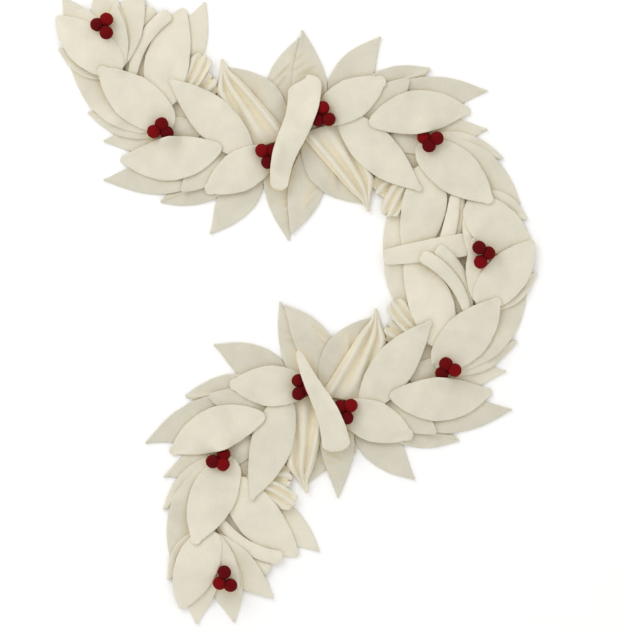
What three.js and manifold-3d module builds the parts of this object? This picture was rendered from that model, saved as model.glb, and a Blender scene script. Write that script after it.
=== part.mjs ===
// Felt mistletoe garland: four arcs of pointed ivory felt leaves with clusters of red felt berries.
// It lies on its back, +Z up. Every leaf is a sheet of thick felt laid on the leaves under it.
import * as THREE from "three";
import { mergeVertices } from "three/addons/utils/BufferGeometryUtils.js";
import Module from "manifold-3d";

const wasm = await Module();
wasm.setup();

// Driving sizes, in millimetres
const feltThickness = 3;
const layGap = 0.4;
const berryRadius = 9.2;
const berryStagger = 5;

// A leaf's outline: how wide its cut root and its tip stay, as shares of the leaf's width, and the
// share of its length from the root where its tip starts to curl up
const rootStart = 0.1;
const tipShare = 0.045;
const curlStart = 0.5;

// A leaf's grid: how many steps along it and across it
const backGrid = { stations: 5, strips: 2 };
const frontGrid = { stations: 6, strips: 4 };

// How leaves are laid: the share of a leaf from its root that is sewn into its own spray, how deep
// it is sewn in, how often it settles on what is under it and is smoothed, and how many times its
// thickness a steep leaf may be upright
const sewnShare = 0.3;
const sewnDepth = 1.6;
const settlings = 4;
const smoothings = 2;
const steepestFelt = 2.4;

// A cell belongs to a leaf's cut end from the smaller share on, and is well inside it from the larger
const touchesEnd = 0.02;
const insideEnd = 0.4;

// The map of heights that the leaves are laid on, and how far over a triangle's rim it looks
const cell = 1;
const rimReach = 0.75 * cell;
const smallestArea = 1e-6;
const mapLeft = -360;
const mapFront = -700;
const mapWidth = 720;
const mapDepth = 920;

// Where each arc goes: a mirrored arc is turned over its X axis first, then turned and moved
const arcs = [
  { name: "left_top", mirrored: false, turn: 180, move: [0, 0], freeEnd: true },
  { name: "right_top", mirrored: false, turn: 0, move: [0, 0], freeEnd: false },
  { name: "left_low", mirrored: true, turn: -151.7, move: [54.2, -345.2], freeEnd: true },
  { name: "right_low", mirrored: true, turn: 8.8, move: [26.9, -350.2], freeEnd: false },
];

// The leaves of one arc from the lowest to the topmost, in the arc's own frame, whose origin is the
// middle of its seam. Each spray is one node, sewn together at its leaves' roots.
// bow: how far the middle rib swings to the left; point: over 1 for a sharper leaf, under 1 for a
// fuller one; crown: rise of the middle rib over the edges; arch: rise of the leaf's middle;
// curl: rise of the tip
const sprays = [
  {
    node: "outer_spray",
    leaves: [
      { root: [53, 18], tip: [115, 133], width: 55, bow: 8, point: 1, crown: 0, arch: 0, curl: 5 },
      { root: [72, 34], tip: [182, 90], width: 46, bow: 6, point: 0.9, crown: 3, arch: 0, curl: 4 },
      { root: [62, 12], tip: [153, 76], width: 46, bow: -4, point: 0.8, crown: 0, arch: 0, curl: 3 },
      { root: [104, 38], tip: [259, 60], width: 52, bow: 5, point: 1, crown: 0, arch: 0, curl: 5 },
    ],
  },
  {
    node: "shoulder_spray",
    leaves: [
      { root: [150, -8], tip: [178, -92], width: 42, bow: 0, point: 0.8, crown: 0, arch: 0, curl: 0 },
      { root: [138, -11], tip: [259, 8], width: 50, bow: 3, point: 1, crown: 0, arch: 0, curl: 5 },
      { root: [189, -4], tip: [212, -176], width: 50, bow: 0, point: 0.8, crown: 0, arch: 0, curl: 0 },
      { root: [178, -6], tip: [280, -31], width: 34, bow: 4, point: 0.9, crown: 6, arch: 0, curl: 4 },
      { root: [192, -9], tip: [303, -92], width: 50, bow: 5, point: 0.9, crown: 1, arch: 0, curl: 2 },
    ],
  },
  {
    node: "seam_spray",
    leaves: [
      { root: [26, -4], tip: [1, -128], width: 50, bow: 8, point: 0.9, crown: 2, arch: 0, curl: 4 },
      { root: [19, -10], tip: [9, 142], width: 48, bow: -5, point: 1, crown: 3, arch: 0, curl: 5 },
      { root: [14, -4], tip: [94, -92], width: 64, bow: -1, point: 0.9, crown: 2, arch: 0, curl: 3 },
    ],
  },
  {
    node: "inner_spray",
    leaves: [
      { root: [180, -58], tip: [122, -180], width: 50, bow: -4, point: 0.9, crown: 0, arch: 0, curl: 3 },
      { root: [179, -64], tip: [115, -79], width: 34, bow: 0, point: 0.9, crown: 6, arch: 0, curl: 0 },
      { root: [179, -68], tip: [120, -111], width: 36, bow: -6, point: 1, crown: 6, arch: 0, curl: 0 },
      { root: [183, -54], tip: [147, -171], width: 60, bow: 8, point: 0.8, crown: 3, arch: 0, curl: 1 },
    ],
  },
  {
    node: "finger_spray",
    leaves: [
      { root: [222, -80], tip: [192, -170], width: 20, bow: 12, point: 0.5, crown: 4, arch: 0, curl: 0 },
      { root: [220, -77], tip: [170, -164], width: 21, bow: 12, point: 0.5, crown: 4, arch: 0, curl: 0 },
    ],
    middleLeaves: [
      { root: [240, -150], tip: [112, -174], width: 38, bow: 0, point: 0.6, crown: 1, arch: 0, curl: 0 },
    ],
  },
  {
    node: "pleat_spray",
    sewnThrough: true,
    leaves: [
      { root: [17, 7], tip: [99, -102], width: 16, bow: 2, point: 0.6, crown: 15, arch: 0, curl: 3 },
      { root: [33, 11], tip: [96, -84], width: 16, bow: 3, point: 0.5, crown: 15, arch: 0, curl: 0 },
      { root: [49, 15], tip: [101, -70], width: 16, bow: 3, point: 0.5, crown: 14, arch: 0, curl: 0 },
      { root: [65, 15], tip: [105, -60], width: 16, bow: 3, point: 0.5, crown: 12, arch: 0, curl: 0 },
    ],
  },
  {
    node: "end_spray",
    leaves: [
      { root: [236, -87], tip: [320, -117], width: 38, bow: 5, point: 0.9, crown: 0, arch: 0, curl: 3 },
      { root: [238, -90], tip: [314, -188], width: 50, bow: 4, point: 0.9, crown: 0, arch: 0, curl: 3 },
      { root: [237, -88], tip: [242, -176], width: 34, bow: 3, point: 0.8, crown: 4, arch: 0, curl: 1 },
      { root: [234, -87], tip: [322, -160], width: 58, bow: 3, point: 0.7, crown: 3, arch: 1, curl: 1 },
    ],
    freeEndLeaves: [
      { root: [238, -92], tip: [206, -206], width: 44, bow: 4, point: 0.9, crown: 2, arch: 0, curl: 4 },
      { root: [244, -96], tip: [268, -210], width: 46, bow: -4, point: 0.9, crown: 2, arch: 0, curl: 4 },
    ],
  },
  {
    node: "long_leaf",
    front: true,
    leaves: [{ root: [72, 18], tip: [170, -75], width: 56, bow: -3, point: 0.9, crown: 3, arch: 1, curl: 1 }],
  },
  {
    node: "cheek_leaf",
    front: true,
    leaves: [{ root: [164, -14], tip: [265, -91], width: 62, bow: 4, point: 0.8, crown: 4, arch: 1, curl: 0 }],
  },
  {
    node: "crest_leaf",
    front: true,
    leaves: [{ root: [30, 24], tip: [121, 76], width: 55, bow: -1, point: 0.75, crown: 4, arch: 1, curl: 1 }],
  },
  { node: "seam_berries", balls: [[37, 36.5], [45, 21], [30.5, 20.5]] },
  { node: "crown_berries", balls: [[190.5, -4.5], [180, -14.5], [173, -3]] },
  {
    node: "middle_berries",
    sharedBy: "right_low",
    balls: [[247, -143], [259.5, -153], [248, -162.5]],
    otherBalls: { left_top: [[254, -137], [266.5, -148], [254, -155]] },
  },
  {
    node: "bridge_leaf",
    front: true,
    leaves: [{ root: [97, 15], tip: [236, 32], width: 59, bow: 8, point: 0.8, crown: 4, arch: 1, curl: 0 }],
  },
  {
    node: "seam_leaf",
    front: true,
    otherShapes: {
      left_low: { tip: [31, -62], width: 32, bow: -8 },
      right_low: { width: 34, bow: 10 },
    },
    leaves: [{ root: [22, 78], tip: [-23, -70], width: 46, bow: 4, point: 0.7, crown: 4, arch: 1, curl: 0 }],
  },
];

const feltMaterial = new THREE.MeshStandardMaterial({ color: 0xe6dfcd, roughness: 0.95, metalness: 0 });
const berryMaterial = new THREE.MeshStandardMaterial({ color: 0x86101c, roughness: 0.9, metalness: 0 });

// Moves a point of an arc's own frame to the garland's plan
function placed(arc, x, y) {
  const angle = THREE.MathUtils.degToRad(arc.turn);
  const side = arc.mirrored ? -y : y;
  return [
    arc.move[0] + x * Math.cos(angle) - side * Math.sin(angle),
    arc.move[1] + x * Math.sin(angle) + side * Math.cos(angle),
  ];
}

// Half of the leaf's width at a share s of its length, from the cut root to the tip
function halfWidth(leaf, s) {
  const swell = Math.max(0, Math.sin(Math.PI * (rootStart + (1 - rootStart) * s)));
  return 0.5 * leaf.width * Math.max(tipShare, swell ** leaf.point);
}

// A leaf's height over a flat table before it is laid, at a share s along it and c across it
function ownHeight(leaf, s, c) {
  const swell = halfWidth(leaf, s) / (0.5 * leaf.width);
  const tipward = Math.max(0, (s - curlStart) / (1 - curlStart));
  return leaf.crown * (1 - c * c) * swell + leaf.arch * Math.sin(Math.PI * s) + leaf.curl * tipward ** 2;
}

// A grid of plan points over a leaf, with their heights
function leafGrid(leaf, arc, { stations, strips }) {
  const [dx, dy] = [leaf.tip[0] - leaf.root[0], leaf.tip[1] - leaf.root[1]];
  const length = Math.hypot(dx, dy);
  const [leftX, leftY] = [-dy / length, dx / length];
  const points = [];
  for (let i = 0; i <= stations; i++) {
    const s = i / stations;
    const swing = 4 * leaf.bow * s * (1 - s);
    const swingSlope = (4 * leaf.bow * (1 - 2 * s)) / length;
    const ribX = leaf.root[0] + dx * s + leftX * swing;
    const ribY = leaf.root[1] + dy * s + leftY * swing;
    const acrossX = (leftX - (swingSlope * dx) / length) / Math.hypot(1, swingSlope);
    const acrossY = (leftY - (swingSlope * dy) / length) / Math.hypot(1, swingSlope);
    for (let j = 0; j <= strips; j++) {
      const c = (arc.mirrored ? 1 : -1) * ((2 * j) / strips - 1);
      const out = c * halfWidth(leaf, s);
      const [x, y] = placed(arc, ribX + acrossX * out, ribY + acrossY * out);
      points.push({ x, y, z: ownHeight(leaf, s, c), s });
    }
  }
  return points;
}

// Corner numbers of the grid's triangles, counter-clockwise from above
function gridTriangles({ stations, strips }) {
  const row = strips + 1;
  const triangles = [];
  for (let i = 0; i < stations; i++) {
    for (let j = 0; j < strips; j++) {
      const a = i * row + j;
      triangles.push([a, a + 1, a + row + 1], [a, a + row + 1, a + row]);
    }
  }
  return triangles;
}

const distance = (a, b) => Math.hypot(a.x - b.x, a.y - b.y);

// A map of the highest felt laid so far, one number a cell
const mapColumns = mapWidth / cell;
const newMap = () => new Float32Array((mapColumns * mapDepth) / cell).fill(-Infinity);
const columnOf = (x) => Math.floor((x - mapLeft) / cell);
const rowOf = (y) => Math.floor((y - mapFront) / cell);

// Calls visit(cell number, weights) for each map cell under a triangle and just outside it
function overCells(a, b, c, visit) {
  const area = (b.x - a.x) * (c.y - a.y) - (c.x - a.x) * (b.y - a.y);
  if (area < smallestArea) return;
  const margin = (p, q) => (-rimReach * distance(p, q)) / area;
  const [marginA, marginB, marginC] = [margin(b, c), margin(c, a), margin(a, b)];
  const lastRow = rowOf(Math.max(a.y, b.y, c.y)) + 1;
  const lastColumn = columnOf(Math.max(a.x, b.x, c.x)) + 1;
  for (let row = rowOf(Math.min(a.y, b.y, c.y)) - 1; row <= lastRow; row++) {
    for (let column = columnOf(Math.min(a.x, b.x, c.x)) - 1; column <= lastColumn; column++) {
      const [x, y] = [(column + 0.5) * cell + mapLeft, (row + 0.5) * cell + mapFront];
      let wa = ((b.x - x) * (c.y - y) - (c.x - x) * (b.y - y)) / area;
      let wb = ((c.x - x) * (a.y - y) - (a.x - x) * (c.y - y)) / area;
      let wc = 1 - wa - wb;
      if (wa < marginA || wb < marginB || wc < marginC) continue;
      wa = Math.max(0, wa);
      wb = Math.max(0, wb);
      wc = Math.max(0, wc);
      const sum = wa + wb + wc;
      visit(row * mapColumns + column, wa / sum, wb / sum, wc / sum);
    }
  }
}

// The grid points beside point k: two along the leaf and two across it, fewer at a rim
function besides(k, { stations, strips }) {
  const row = strips + 1;
  const near = [];
  if (k >= row) near.push(k - row);
  if (k < stations * row) near.push(k + row);
  if (k % row > 0) near.push(k - 1);
  if (k % row < strips) near.push(k + 1);
  return near;
}

// How thick the felt is upright over each grid point: more where the leaf is steep
function uprightThickness(points, grid) {
  return points.map((p, k) => {
    const steps = besides(k, grid).map((n) => points[n]);
    const slopes = steps.map((q) => Math.abs(p.z - q.z) / Math.max(feltThickness, distance(p, q)));
    return feltThickness * Math.min(steepestFelt, Math.hypot(1, Math.max(...slopes)));
  });
}

// Lifts each point of a leaf by as much as the triangles round it need to clear what is under them
function liftClear(points, triangles, floorAt) {
  const lift = points.map(() => 0);
  for (const corners of triangles) {
    const [a, b, c] = corners.map((k) => points[k]);
    let most = 0;
    overCells(a, b, c, (k, wa, wb, wc) => {
      const floor = floorAt(k, wa * a.s + wb * b.s + wc * c.s);
      most = Math.max(most, floor - (wa * a.z + wb * b.z + wc * c.z));
    });
    for (const k of corners) lift[k] = Math.max(lift[k], most);
  }
  return lift;
}

// Lets a lifted leaf down again as far as each of its points can go
function settle(points, triangles, floorAt, lift) {
  const room = [...lift];
  for (const corners of triangles) {
    const [a, b, c] = corners.map((k) => points[k]);
    overCells(a, b, c, (k, ...weights) => {
      const [wa, wb, wc] = weights;
      const air = wa * a.z + wb * b.z + wc * c.z - floorAt(k, wa * a.s + wb * b.s + wc * c.s);
      corners.forEach((corner, n) => {
        if (weights[n] > 0) room[corner] = Math.min(room[corner], air / (3 * weights[n]));
      });
    });
  }
  points.forEach((p, k) => (p.z -= room[k]));
  return lift.map((own, k) => own - room[k]);
}

// Sinks a leaf's cut end into the leaf of its own spray that lies under it, as far as it needs to
// go there and no further than what else is under it lets it
function sewRoot(points, grid, triangles, under, ownSpray) {
  const end = points.slice(0, grid.strips + 1);
  let wanted = Infinity;
  let allowed = Infinity;
  for (const corners of triangles.slice(0, 2 * grid.strips)) {
    const [a, b, c] = corners.map((k) => points[k]);
    const [endA, endB, endC] = [a, b, c].map((p) => (end.includes(p) ? 1 : 0));
    overCells(a, b, c, (k, wa, wb, wc) => {
      const share = endA * wa + endB * wb + endC * wc;
      if (share < touchesEnd) return;
      const z = wa * a.z + wb * b.z + wc * c.z;
      if (share > insideEnd) wanted = Math.min(wanted, (z - ownSpray[k] + sewnDepth) / share);
      allowed = Math.min(allowed, (z - Math.max(0, under[k] + layGap)) / share);
    });
  }
  if (wanted === Infinity) return;
  for (const p of end) p.z -= Math.max(0, Math.min(wanted, allowed));
}

// Lays a leaf on what is under it. Its sewn end sinks into its own spray, and the rest lies on it.
function layLeaf(leaf, arc, spray, under, ownSpray) {
  const grid = spray.front ? frontGrid : backGrid;
  const points = leafGrid(leaf, arc, grid);
  const triangles = gridTriangles(grid);
  const sewnTo = spray.sewnThrough ? 1 : sewnShare;
  const floorAt = (k, s) => {
    const own = spray.sewnThrough ? -Infinity : ownSpray[k] + (s > sewnTo ? layGap : -sewnDepth);
    return Math.max(under[k] + layGap, own);
  };
  const flat = points.map((p) => p.z);
  let lift = liftClear(points, triangles, floorAt);
  points.forEach((p, k) => (p.z = flat[k] + lift[k]));
  for (let round = 0; round < settlings; round++) lift = settle(points, triangles, floorAt, lift);
  for (let sweep = 0; sweep < smoothings; sweep++) {
    lift = lift.map((own, k) => {
      const near = besides(k, grid);
      return Math.max(own, near.reduce((sum, n) => sum + lift[n], 0) / near.length);
    });
  }
  points.forEach((p, k) => (p.z = flat[k] + lift[k]));
  if (!spray.sewnThrough) sewRoot(points, grid, triangles, under, ownSpray);
  const thickness = uprightThickness(points, grid);
  const tops = points.map((p, k) => ({ ...p, z: p.z + thickness[k] }));
  for (const corners of triangles) {
    const [a, b, c] = corners.map((k) => tops[k]);
    overCells(a, b, c, (k, wa, wb, wc) => {
      ownSpray[k] = Math.max(ownSpray[k], wa * a.z + wb * b.z + wc * c.z);
    });
  }
  return leafSolid(points, tops, grid, triangles);
}

// Closes a leaf's two faces with a rim
function leafSolid(bottoms, tops, { stations, strips }, triangles) {
  const row = strips + 1;
  const corners = [...bottoms, ...tops].flatMap((p) => [p.x, p.y, p.z]);
  const over = bottoms.length;
  const faces = triangles.flatMap(([a, b, c]) => [a + over, b + over, c + over, a, c, b]);
  const rim = [];
  for (let j = 0; j < strips; j++) rim.push(j);
  for (let i = 0; i < stations; i++) rim.push(i * row + strips);
  for (let j = strips; j > 0; j--) rim.push(stations * row + j);
  for (let i = stations; i > 0; i--) rim.push(i * row);
  rim.forEach((a, n) => {
    const b = rim[(n + 1) % rim.length];
    faces.push(a, b, b + over, a, b + over, a + over);
  });
  const geometry = new THREE.BufferGeometry();
  geometry.setAttribute("position", new THREE.Float32BufferAttribute(corners, 3));
  geometry.setIndex(faces);
  return manifoldOf(geometry);
}

// Seats the balls of a cluster on the felt under them, each at its own height, a little staggered
function layBerries(balls, arc, under) {
  const reach = Math.ceil(berryRadius / cell);
  const seats = balls.map((ball) => {
    const [x, y] = placed(arc, ...ball);
    let z = berryRadius;
    for (let row = -reach; row <= reach; row++) {
      for (let column = -reach; column <= reach; column++) {
        const away = Math.hypot(row, column) * cell;
        if (away >= berryRadius) continue;
        const floor = under[(rowOf(y) + row) * mapColumns + columnOf(x) + column];
        z = Math.max(z, floor + layGap + Math.sqrt(berryRadius ** 2 - away ** 2));
      }
    }
    return { x, y, z };
  });
  const highest = Math.max(...seats.map((seat) => seat.z));
  return seats.map((seat) => {
    const z = Math.max(seat.z, highest - berryStagger);
    markBall(seat.x, seat.y, z, under);
    const ball = new THREE.IcosahedronGeometry(berryRadius, 1).translate(seat.x, seat.y, z);
    ball.deleteAttribute("normal");
    ball.deleteAttribute("uv");
    return manifoldOf(ball);
  });
}

// Adds a ball's upper half to the map of heights
function markBall(x, y, z, map) {
  const reach = Math.ceil(berryRadius / cell) + 1;
  for (let row = -reach; row <= reach; row++) {
    for (let column = -reach; column <= reach; column++) {
      const away = Math.max(0, Math.hypot(row, column) - 1) * cell;
      if (away >= berryRadius) continue;
      const k = (rowOf(y) + row) * mapColumns + columnOf(x) + column;
      map[k] = Math.max(map[k], z + Math.sqrt(berryRadius ** 2 - away ** 2));
    }
  }
}

// A closed geometry as a manifold-3d solid
function manifoldOf(geometry) {
  const merged = mergeVertices(geometry, 1e-4);
  return new wasm.Manifold(
    new wasm.Mesh({
      numProp: 3,
      vertProperties: merged.attributes.position.array,
      triVerts: new Uint32Array(merged.index.array),
    }),
  );
}

// The named mesh of a node, its solids joined into one
function joinedMesh(name, solids, material) {
  const joined = solids.reduce((whole, next) => whole.add(next));
  const { numProp, vertProperties, triVerts } = joined.getMesh();
  const geometry = new THREE.BufferGeometry();
  const position = new THREE.InterleavedBuffer(vertProperties, numProp);
  geometry.setAttribute("position", new THREE.InterleavedBufferAttribute(position, 3, 0));
  geometry.setIndex(new THREE.BufferAttribute(triVerts, 1));
  const mesh = new THREE.Mesh(geometry, material);
  mesh.name = name;
  return mesh;
}

// Lays the leaves of a spray on what is under it, and marks them on the map of heights
function laySpray(name, leaves, arc, spray, laid) {
  const ownSpray = newMap();
  const shaped = leaves.map((leaf) => ({ ...leaf, ...spray.otherShapes?.[arc.name] }));
  const solids = shaped.map((leaf) => layLeaf(leaf, arc, spray, laid, ownSpray));
  ownSpray.forEach((height, k) => {
    if (height > laid[k]) laid[k] = height;
  });
  return joinedMesh(name, solids, feltMaterial);
}

const garland = new THREE.Group();
const laid = newMap();
for (const spray of sprays) {
  for (const arc of arcs) {
    const name = `${arc.name}_${spray.node}`;
    if (spray.balls) {
      if (spray.sharedBy && !arc.freeEnd && spray.sharedBy !== arc.name) continue;
      const balls = spray.otherBalls?.[arc.name] ?? spray.balls;
      garland.add(joinedMesh(name, layBerries(balls, arc, laid), berryMaterial));
      continue;
    }
    const leaves = [...((arc.freeEnd && spray.freeEndLeaves) || []), ...spray.leaves];
    garland.add(laySpray(name, leaves, arc, spray, laid));
    if (spray.middleLeaves && arc.name === "right_top") {
      garland.add(laySpray("middle_leaf", spray.middleLeaves, arc, spray, laid));
    }
  }
}

// The origin goes to the middle of the garland's outline, on the table that it lies on
const outline = new THREE.Box3().setFromObject(garland);
const middle = outline.getCenter(new THREE.Vector3());
garland.children.forEach((mesh) => mesh.position.set(-middle.x, -middle.y, 0));

export default garland;
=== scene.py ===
# %% [markdown]
# # A felt mistletoe garland
#
# The real garland is a long string of leaves, each cut from one layer of thick ivory wool felt, laid
# over one another in four mirrored arcs, with clusters of three red felt balls. It lies on its back
# on a table and is seen from straight above.
#
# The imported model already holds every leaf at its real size, but only with a few facets each. Here
# each leaf is cut again with a fine grid, laid on the leaves under it in the same order, and given
# its thickness, rounded cut edge, creases and wool. A cloth simulation could drape the leaves too,
# but a stack of more than a hundred sheets never quite stops sliding, so the laying is worked out.

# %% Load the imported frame
import math

import bpy
import numpy as np
from mathutils import Euler, Matrix, Vector


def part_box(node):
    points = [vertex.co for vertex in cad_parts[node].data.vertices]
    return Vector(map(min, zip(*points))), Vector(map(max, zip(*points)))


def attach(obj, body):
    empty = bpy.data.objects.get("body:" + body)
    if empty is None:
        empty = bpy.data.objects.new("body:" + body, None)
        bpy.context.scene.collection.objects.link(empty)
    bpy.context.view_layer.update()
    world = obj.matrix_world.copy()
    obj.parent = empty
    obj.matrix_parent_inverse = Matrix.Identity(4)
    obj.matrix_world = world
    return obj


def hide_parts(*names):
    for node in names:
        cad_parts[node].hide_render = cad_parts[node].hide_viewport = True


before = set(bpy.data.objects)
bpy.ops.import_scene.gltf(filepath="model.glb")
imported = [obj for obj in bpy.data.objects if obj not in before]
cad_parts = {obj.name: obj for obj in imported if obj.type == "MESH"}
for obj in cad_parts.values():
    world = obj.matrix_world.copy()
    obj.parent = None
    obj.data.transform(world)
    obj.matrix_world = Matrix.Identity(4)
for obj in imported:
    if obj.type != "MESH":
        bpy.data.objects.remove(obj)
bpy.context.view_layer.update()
MM = 0.001
print("CAD nodes:", len(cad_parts))

# %% [markdown]
# ## The plan of the garland
#
# All sizes here are in millimetres, because that is how a maker would write them. The garland is
# one arc of leaves placed four times. Two of the arcs are mirrored, like a pattern turned over.
# Each arc could be copied and turned as a whole, but then every fold and wave would repeat, so only
# the plan is copied and each leaf is cut anew.

# %% The four arcs
# Mirrored arcs are turned over their X axis first, then turned by degrees and moved
ARCS = {
    "left_top": {"mirrored": False, "turn": 180.0, "move": (0.0, 0.0), "free_end": True},
    "right_top": {"mirrored": False, "turn": 0.0, "move": (0.0, 0.0), "free_end": False},
    "left_low": {"mirrored": True, "turn": -151.7, "move": (54.2, -345.2), "free_end": True},
    "right_low": {"mirrored": True, "turn": 8.8, "move": (26.9, -350.2), "free_end": False},
}


def placed(arc, x, y):
    """Moves points of an arc's own frame to the garland's plan."""
    angle = math.radians(arc["turn"])
    side = -y if arc["mirrored"] else y
    return (
        arc["move"][0] + x * math.cos(angle) - side * math.sin(angle),
        arc["move"][1] + x * math.sin(angle) + side * math.cos(angle),
    )


print("arcs:", ", ".join(ARCS))

# %% [markdown]
# ## The pattern of the leaves
#
# A maker cuts the leaves after a few patterns and sews them on in sprays. One table holds the
# leaves of an arc in the order in which they are laid, each with the places of its root and its
# tip. Each leaf could be drawn as a curve of its own, but a row of numbers is easier to mend.

# %% The leaves of one arc, from the lowest to the topmost
# bow: how far the rib swings to the left; point: over 1 for a sharper leaf; crown: rise of the rib
# over the edges; arch: rise of the leaf's middle; curl: rise of the tip
COLUMNS = ("root_x", "root_y", "tip_x", "tip_y", "width", "bow", "point", "crown", "arch", "curl")
SPRAYS = {
    "outer_spray": [
        (53, 18, 115, 133, 55, 8, 1.0, 0, 0, 5),
        (72, 34, 182, 90, 46, 6, 0.9, 3, 0, 4),
        (104, 38, 259, 60, 52, 5, 1.0, 0, 0, 5),
        (62, 12, 153, 76, 48, -5, 0.7, 0, 0, 2),
    ],
    "shoulder_spray": [
        (150, -8, 178, -92, 42, 0, 0.8, 0, 0, 0),
        (122, -12, 259, 8, 50, 3, 1.0, 0, 0, 5),
        (189, -4, 212, -176, 50, 0, 0.8, 0, 0, 0),
        (178, -6, 280, -31, 34, 4, 0.9, 6, 0, 4),
        (192, -9, 303, -92, 50, 5, 0.9, 1, 0, 2),
    ],
    "seam_spray": [
        (26, -4, 1, -128, 50, 8, 0.9, 2, 0, 4),
        (19, -10, 9, 142, 48, -5, 1.0, 3, 0, 5),
        (14, -4, 94, -92, 64, -1, 0.9, 2, 0, 3),
    ],
    "inner_spray": [
        (180, -58, 122, -180, 50, -4, 0.9, 0, 0, 3),
        (152, -38, 111, -77, 46, 0, 0.9, 2, 0, 0),
        (163, -46, 124, -107, 42, -3, 1.0, 3, 0, 0),
        (178, -36, 150, -171, 60, 8, 0.66, 3, 0, 1),
    ],
    "finger_spray": [
        (222, -80, 192, -170, 21, 12, 0.35, 4, 0, 0),
        (220, -77, 170, -164, 22, 12, 0.35, 4, 0, 0),
    ],
    "pleat_spray": [],
    "end_spray": [
        (236, -87, 320, -117, 38, 5, 0.9, 0, 0, 3),
        (238, -90, 314, -188, 50, 4, 0.9, 0, 0, 3),
        (237, -88, 242, -176, 34, 3, 0.8, 4, 0, 1),
        (234, -87, 322, -160, 58, 3, 0.7, 3, 1, 1),
    ],
    "long_leaf": [(60, 30, 170, -75, 56, -3, 0.9, 3, 1, 1)],
    "cheek_leaf": [(164, -14, 265, -91, 62, 4, 0.8, 4, 1, 0)],
    "crest_leaf": [(30, 24, 121, 76, 55, -1, 0.75, 4, 1, 1)],
    "seam_berries": [],
    "crown_berries": [],
    "middle_berries": [],
    "bridge_leaf": [(99, 15, 236, 32, 59, 8, 0.8, 4, 1, 0)],
    "seam_leaf": [(22, 78, -23, -70, 46, 4, 0.7, 4, 1, 0)],
}
FREE_END_LEAVES = [
    (238, -92, 206, -206, 44, 4, 0.9, 2, 0, 4),
    (244, -96, 268, -210, 46, -4, 0.9, 2, 0, 4),
]
MIDDLE_LEAF = (238, -146, 119, -165, 36, 0, 0.4, 1, 0, 0)
print("leaves of one arc:", sum(len(rows) for rows in SPRAYS.values()), "and one gathered leaf")

# %% What some leaves have beside the table, in every arc
# strip: a leaf with nearly straight edges, by the shares of its width that it keeps at its root and
# its tip; ruffle: the height of its small pleats and how many it has; root_start: how far round the
# oval its root begins; root_rounding: the share of its length that rounds its root; tip_rounding:
# the length that rounds its tip; creases: each from x, y to x, y, with its breadth and its height
FORMS = {
    ("outer_spray", 1): dict(creases=[(138, 70, 182, 88, 2.2, 2.6)]),
    ("shoulder_spray", 3): dict(creases=[(228, -16, 274, -29, 2.2, 2.4)]),
    ("seam_spray", 0): dict(creases=[(30, -76, 9, -98, 2.2, 2.6), (34, -60, 12, -84, 2.2, 2.0)]),
    ("seam_spray", 1): dict(
        creases=[
            (-10, 86, 14, 101, 2.2, 2.6),
            (0, 83, 26, 96, 2.4, 2.4),
            (-4, 103, 12, 113, 2.0, 1.8),
        ]
    ),
    ("seam_spray", 2): dict(creases=[(49, -38, 56, -76, 2.4, 2.6), (64, -50, 70, -74, 2.2, 1.8)]),
    ("inner_spray", 1): dict(strip=(0.4, 0.9), ruffle=(3.5, 2.5)),
    ("inner_spray", 2): dict(strip=(0.4, 0.72), ruffle=(4.0, 2.5)),
    ("finger_spray", 0): dict(strip=(0.62, 0.92)),
    ("finger_spray", 1): dict(strip=(0.62, 0.92)),
    ("bridge_leaf", 0): dict(root_rounding=0.04, root_start=0.03),
}
# The leaves on top show whole, so they have more points and rounder tips
FRONT = dict(grid=(64, 19), tip_rounding=8.0)
FRONT_SPRAYS = {"long_leaf", "cheek_leaf", "crest_leaf", "bridge_leaf", "seam_leaf"}
print("front leaves of one arc:", len(FRONT_SPRAYS))

# %% What single leaves have instead, by their node
# sway: how far the rib bends like an S; slant: how far one corner of the root leads the other
CHANGES = {
    ("right_top_shoulder_spray", 2): dict(tip_x=221, tip_y=-192, width=62, point=0.5),
    ("left_top_seam_spray", 0): dict(tip_x=-6, tip_y=-132, bow=5),
    ("right_top_seam_spray", 0): dict(tip_x=-6, tip_y=-132, bow=5),
    ("left_low_seam_spray", 0): dict(tip_x=14, tip_y=-86),
    ("right_low_seam_spray", 0): dict(tip_x=-23, tip_y=-126),
    ("right_top_finger_spray", 0): dict(tip_x=213, tip_y=-166, bow=3),
    ("right_top_finger_spray", 1): dict(root_x=216, tip_x=195, tip_y=-170, bow=3, width=24),
    ("middle_leaf", 0): dict(strip=(0.95, 0.66)),
    ("right_top_end_spray", 0): dict(tip_x=312, tip_y=-113),
    ("right_top_end_spray", 3): dict(bow=-5, width=64),
    ("right_low_end_spray", 1): dict(tip_x=296, tip_y=-150),
    ("left_top_seam_leaf", 0): dict(
        root_x=18, root_y=64, tip_x=-12, tip_y=-62, width=38, bow=0, crown=2,
        sway=-5, strip=(0.5, 0.85), root_rounding=0.06,
    ),
    ("right_top_seam_leaf", 0): dict(
        root_x=13, root_y=76, tip_x=-22, tip_y=-74, width=50, bow=1, crown=3,
        sway=-5, strip=(0.96, 0.5), root_rounding=0.08, slant=0.04,
    ),
    ("left_low_seam_leaf", 0): dict(
        root_x=19, root_y=66, tip_x=35, tip_y=-62, width=34, bow=-4.5,
        sway=-3, strip=(0.25, 0.9),
    ),
    ("right_low_seam_leaf", 0): dict(
        root_x=17, root_y=79, tip_x=-14, tip_y=-63, width=43, bow=5, crown=3,
        sway=-3, strip=(1.0, 0.24), root_rounding=0.07, tip_rounding=12.0,
    ),
}
print("leaves with a cut of their own:", len(CHANGES))

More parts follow.
